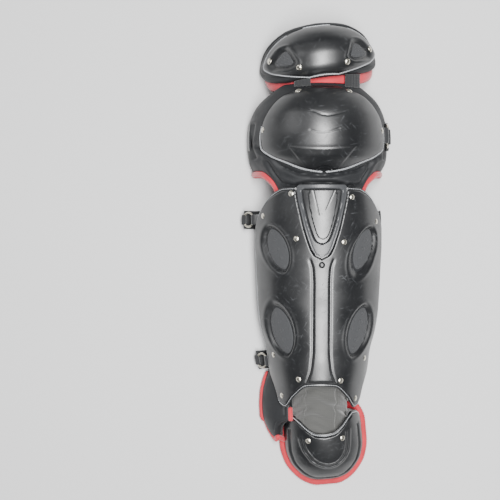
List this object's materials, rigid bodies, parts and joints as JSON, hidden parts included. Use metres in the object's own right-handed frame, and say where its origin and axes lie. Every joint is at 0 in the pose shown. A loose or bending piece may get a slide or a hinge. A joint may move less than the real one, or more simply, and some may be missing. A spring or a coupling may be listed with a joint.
{
  "type": "catcher leg guard",
  "caption": "Catcher's leg guard with a domed knee cap, ridged shin shell, thigh flap, ankle wing and toe cap over padding.",
  "frame": {"origin": "middle of the guard's footprint on the surface that it lies on", "axes": "+Z out of the front of the guard, away from the surface; +Y from the toe cap to the thigh flap; +X to the right seen from the front"},
  "size_m": [0.2024, 0.6236, 0.1215],
  "materials": {
    "shell": "moulded hard plastic, glossy black with fine scratches",
    "pad": "moulded foam with a smooth black skin, satin",
    "lining": "coral red woven cloth and binding",
    "mesh": "black warp-knit mesh lining",
    "foam": "mid grey foam with small raised dots",
    "frame": "satin grey moulded plastic",
    "cloth": "dark grey woven cloth, stitched",
    "webbing": "black elastic webbing",
    "metal": "nickel plated steel, slightly dull"
  },
  "bodies": {
    "root": {"ankle_lining_left": "lining", "ankle_lining_right": "lining", "ankle_wing_left": "pad", "ankle_wing_right": "pad", "calf_lower_keeper": "webbing", "calf_lower_ring": "metal", "calf_lower_strap": "webbing", "calf_upper_keeper": "webbing", "calf_upper_ring": "metal", "calf_upper_strap": "webbing", "knee_cap": "shell", "knee_keeper": "webbing", "knee_lining": "mesh", "knee_pad": "pad", "knee_ring": "metal", "knee_rivet_side_left": "metal", "knee_rivet_side_right": "metal", "knee_rivet_upper_left": "metal", "knee_rivet_upper_right": "metal", "knee_strap": "webbing", "shin_foam_lower_left": "foam", "shin_foam_lower_right": "foam", "shin_foam_upper_left": "foam", "shin_foam_upper_right": "foam", "shin_frame": "frame", "shin_insert": "shell", "shin_lining": "mesh", "shin_pad": "pad", "shin_rivet_calf_left": "metal", "shin_rivet_calf_right": "metal", "shin_rivet_foot_left": "metal", "shin_rivet_foot_right": "metal", "shin_rivet_lobe_left": "metal", "shin_rivet_lobe_right": "metal", "shin_rivet_mid_left": "metal", "shin_rivet_mid_right": "metal", "shin_rivet_ridge": "metal", "shin_rivet_side_left": "metal", "shin_rivet_side_right": "metal", "shin_rivet_top_left": "metal", "shin_rivet_top_right": "metal", "shin_shell": "shell", "thigh_foam_left": "foam", "thigh_foam_right": "foam", "thigh_lining": "lining", "thigh_pad": "pad", "thigh_rivet_inner_left": "metal", "thigh_rivet_inner_right": "metal", "thigh_rivet_outer_left": "metal", "thigh_rivet_outer_right": "metal", "thigh_shell": "shell", "thigh_tab_left": "cloth", "thigh_tab_right": "cloth", "toe_binding": "lining", "toe_pad": "cloth", "toe_rivet_left": "metal", "toe_rivet_right": "metal", "toe_shell": "shell", "tongue": "cloth"}
  },
  "joints": []
}
